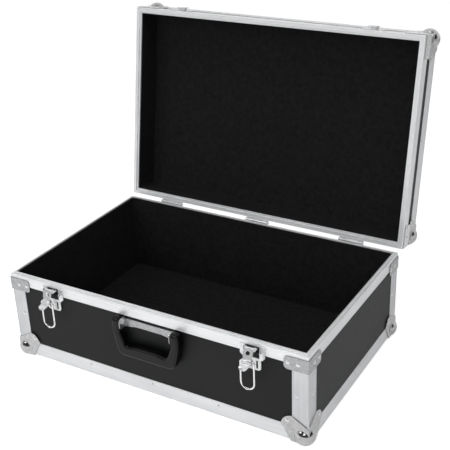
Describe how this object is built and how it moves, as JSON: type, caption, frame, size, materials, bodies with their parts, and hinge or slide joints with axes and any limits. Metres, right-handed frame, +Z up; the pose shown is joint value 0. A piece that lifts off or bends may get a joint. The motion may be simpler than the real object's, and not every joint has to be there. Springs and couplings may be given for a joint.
{
  "type": "guitar pedal case",
  "caption": "Boarded case for guitar pedals with aluminium edging, ball corners, a deep base, a hinged lid standing open, drop-bail latches and a swinging grip handle",
  "frame": {"origin": "centre of the floor board's underside", "axes": "+X to the right along the length, as seen from the latches; latches and handle face -Y; +Z up; the lid is stored open"},
  "size_m": [0.6324, 0.5756, 0.5786],
  "materials": {
    "laminate_board": "plywood faced with black textured laminate",
    "felt": "thin black felt",
    "aluminium_rim": "bright anodised extrusion",
    "aluminium_edge": "satin anodised extrusion",
    "polished_corner": "pressed steel, bright nickel plated",
    "plated_steel": "zinc plated sheet steel",
    "bright_steel": "nickel plated steel wire and pins",
    "rivet": "plated domed heads",
    "handle_plastic": "black moulded plastic with a fine grain"
  },
  "bodies": {
    "base": {"base_back_board": "laminate_board", "base_ball_corner_back_left": "polished_corner", "base_ball_corner_back_right": "polished_corner", "base_ball_corner_front_left": "polished_corner", "base_ball_corner_front_right": "polished_corner", "base_floor_board": "laminate_board", "base_front_board": "laminate_board", "base_left_board": "laminate_board", "base_lining": "felt", "base_post_back_left": "aluminium_edge", "base_post_back_right": "aluminium_edge", "base_post_front_left": "aluminium_edge", "base_post_front_right": "aluminium_edge", "base_right_board": "laminate_board", "base_rim_back": "aluminium_rim", "base_rim_braces": "plated_steel", "base_rim_front": "aluminium_rim", "base_rim_left": "aluminium_rim", "base_rim_right": "aluminium_rim", "base_rivets": "rivet", "base_sill_back": "aluminium_edge", "base_sill_front": "aluminium_edge", "base_sill_left": "aluminium_edge", "base_sill_right": "aluminium_edge", "handle_strap": "plated_steel", "handle_pins": "bright_steel", "latch_plate_left": "plated_steel", "latch_plate_right": "plated_steel", "latch_pins": "bright_steel", "hinge_leaves_base": "plated_steel", "hinge_pins": "bright_steel"},
    "lid": {"lid_back_board": "laminate_board", "lid_ball_corner_back_left": "polished_corner", "lid_ball_corner_back_right": "polished_corner", "lid_ball_corner_front_left": "polished_corner", "lid_ball_corner_front_right": "polished_corner", "lid_corner_posts": "aluminium_edge", "lid_edge_back": "aluminium_edge", "lid_edge_front": "aluminium_edge", "lid_edge_left": "aluminium_edge", "lid_edge_right": "aluminium_edge", "lid_front_board": "laminate_board", "lid_left_board": "laminate_board", "lid_lining": "felt", "lid_right_board": "laminate_board", "lid_rim_back": "aluminium_rim", "lid_rim_braces": "plated_steel", "lid_rim_front": "aluminium_rim", "lid_rim_left": "aluminium_rim", "lid_rim_right": "aluminium_rim", "lid_rivets": "rivet", "lid_top_board": "laminate_board", "hinge_leaves_lid": "plated_steel", "latch_catches": "plated_steel"},
    "handle": {"handle_grip": "handle_plastic"},
    "lever_left": {"latch_lever_left": "plated_steel"},
    "lever_right": {"latch_lever_right": "plated_steel"},
    "bail_left": {"latch_bail_left": "bright_steel"},
    "bail_right": {"latch_bail_right": "bright_steel"}
  },
  "joints": [
    {"name": "lid_hinge", "type": "hinge", "parent": "base", "child": "lid", "pos_m": [0, 0.2027, 0.1679], "axis": [1, 0, 0], "range_deg": [0, 99.6]},
    {"name": "handle_swing", "type": "hinge", "parent": "base", "child": "handle", "pos_m": [0.003, -0.204, 0.1413], "axis": [-1, 0, 0], "range_deg": [0, 95]},
    {"name": "lever_left_pivot", "type": "hinge", "parent": "base", "child": "lever_left", "pos_m": [-0.2056, -0.2062, 0.1635], "axis": [1, 0, 0], "range_deg": [-110, 13.8]},
    {"name": "bail_left_swing", "type": "hinge", "parent": "lever_left", "child": "bail_left", "pos_m": [-0.2056, -0.2142, 0.1435], "axis": [-1, 0, 0], "range_deg": [0, 202.22]},
    {"name": "lever_right_pivot", "type": "hinge", "parent": "base", "child": "lever_right", "pos_m": [0.2056, -0.2062, 0.1635], "axis": [1, 0, 0], "range_deg": [-110, 13.8]},
    {"name": "bail_right_swing", "type": "hinge", "parent": "lever_right", "child": "bail_right", "pos_m": [0.2056, -0.2142, 0.1435], "axis": [-1, 0, 0], "range_deg": [0, 202.22]}
  ]
}
